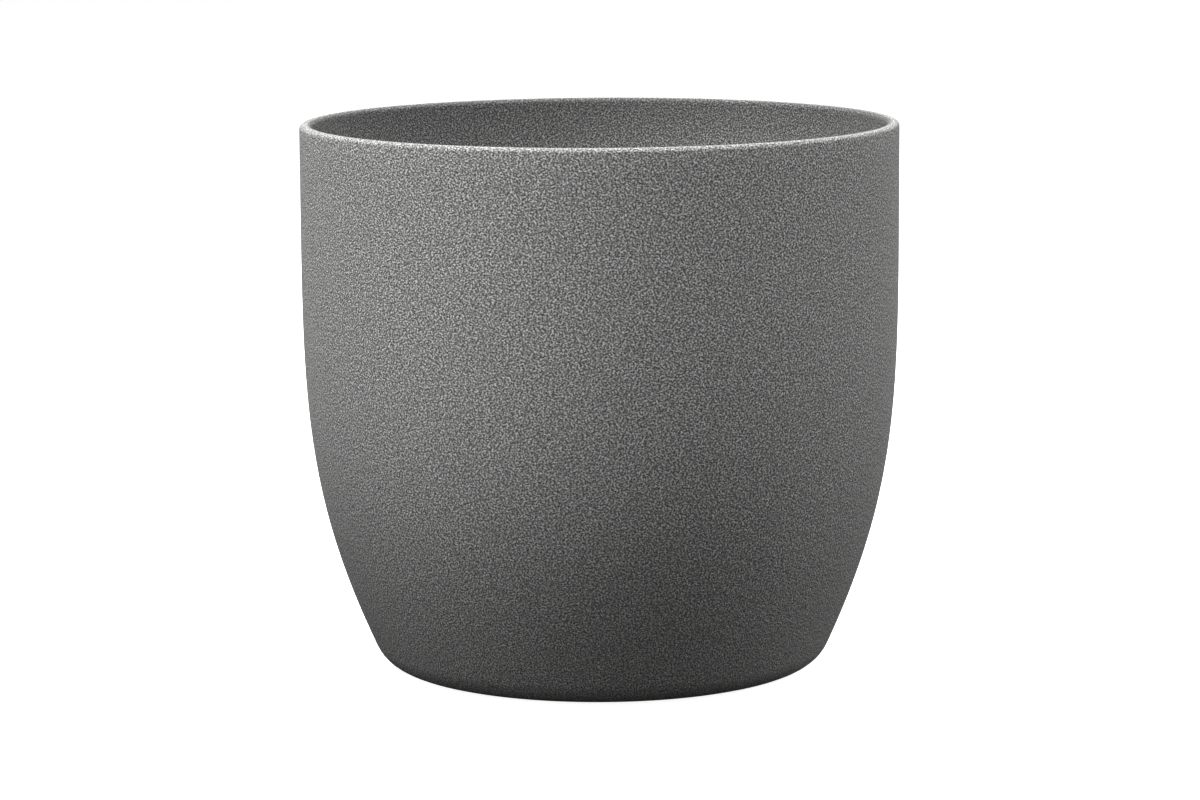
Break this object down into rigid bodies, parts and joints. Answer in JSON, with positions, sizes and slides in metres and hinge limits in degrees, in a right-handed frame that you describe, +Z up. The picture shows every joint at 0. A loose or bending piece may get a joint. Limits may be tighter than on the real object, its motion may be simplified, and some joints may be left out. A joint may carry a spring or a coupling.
{
  "type": "self watering planter",
  "caption": "Round stone-faced ceramic planter with a lift-out plastic liner: slotted platform over a water reservoir, wick cups, lidded fill tube, float gauge and folding handles.",
  "frame": {"origin": "on the pot's axis, on the surface that the rubber pads stand on", "axes": "+Z up along the pot's axis; -Y towards the viewer, the side of the fill tube and the level gauge; the handles lie on the +X and -X sides"},
  "size_m": [0.2402, 0.2402, 0.221],
  "materials": {
    "stone_ceramic": "matte charcoal grey with a fine gritty stone effect, light and dark specks",
    "pad_rubber": "matte black rubber",
    "liner_plastic": "anthracite moulded polypropylene, fine satin texture",
    "platform_plastic": "dark grey moulded polypropylene",
    "handle_plastic": "pale grey moulded plastic",
    "float_foam": "off-white closed-cell foam",
    "indicator_red": "red moulded plastic",
    "clear_plastic": "clear moulded plastic",
    "pin_steel": "stainless wire, drawn"
  },
  "bodies": {
    "pot": {"outer_pot": "stone_ceramic", "foot_pad_1": "pad_rubber", "foot_pad_2": "pad_rubber", "foot_pad_3": "pad_rubber", "foot_pad_4": "pad_rubber"},
    "liner": {"liner": "liner_plastic", "handle_pin_1": "pin_steel", "handle_pin_2": "pin_steel", "handle_pin_3": "pin_steel", "handle_pin_4": "pin_steel"},
    "handle_right": {"handle_right": "handle_plastic"},
    "handle_left": {"handle_left": "handle_plastic"},
    "platform": {"platform": "platform_plastic", "wick_cup_1": "platform_plastic", "wick_cup_2": "platform_plastic", "wick_cup_3": "platform_plastic", "wick_cup_4": "platform_plastic", "fill_tube": "liner_plastic", "lid_pin": "pin_steel", "gauge_body": "liner_plastic", "sight_glass": "clear_plastic", "chamber_cap": "liner_plastic"},
    "lid": {"fill_lid": "handle_plastic"},
    "float": {"float": "float_foam", "indicator_rod": "indicator_red"}
  },
  "joints": [
    {"name": "liner_lift", "type": "slide", "parent": "pot", "child": "liner", "axis": [0, 0, 1], "range_m": [0, 0.225]},
    {"name": "platform_lift", "type": "slide", "parent": "liner", "child": "platform", "axis": [0, 0, 1], "range_m": [0, 0.215]},
    {"name": "handle_right_fold", "type": "hinge", "parent": "liner", "child": "handle_right", "pos_m": [0.0855, 0, 0.1906], "axis": [0, -1, 0], "range_deg": [0, 80]},
    {"name": "handle_left_fold", "type": "hinge", "parent": "liner", "child": "handle_left", "pos_m": [-0.0855, 0, 0.1906], "axis": [0, 1, 0], "range_deg": [0, 80]},
    {"name": "lid_hinge", "type": "hinge", "parent": "platform", "child": "lid", "pos_m": [-0.0295, -0.0286, 0.2013], "axis": [-1, 0, 0], "range_deg": [0, 110]},
    {"name": "float_rise", "type": "slide", "parent": "platform", "child": "float", "axis": [0, 0, 1], "range_m": [0, 0.025]}
  ]
}
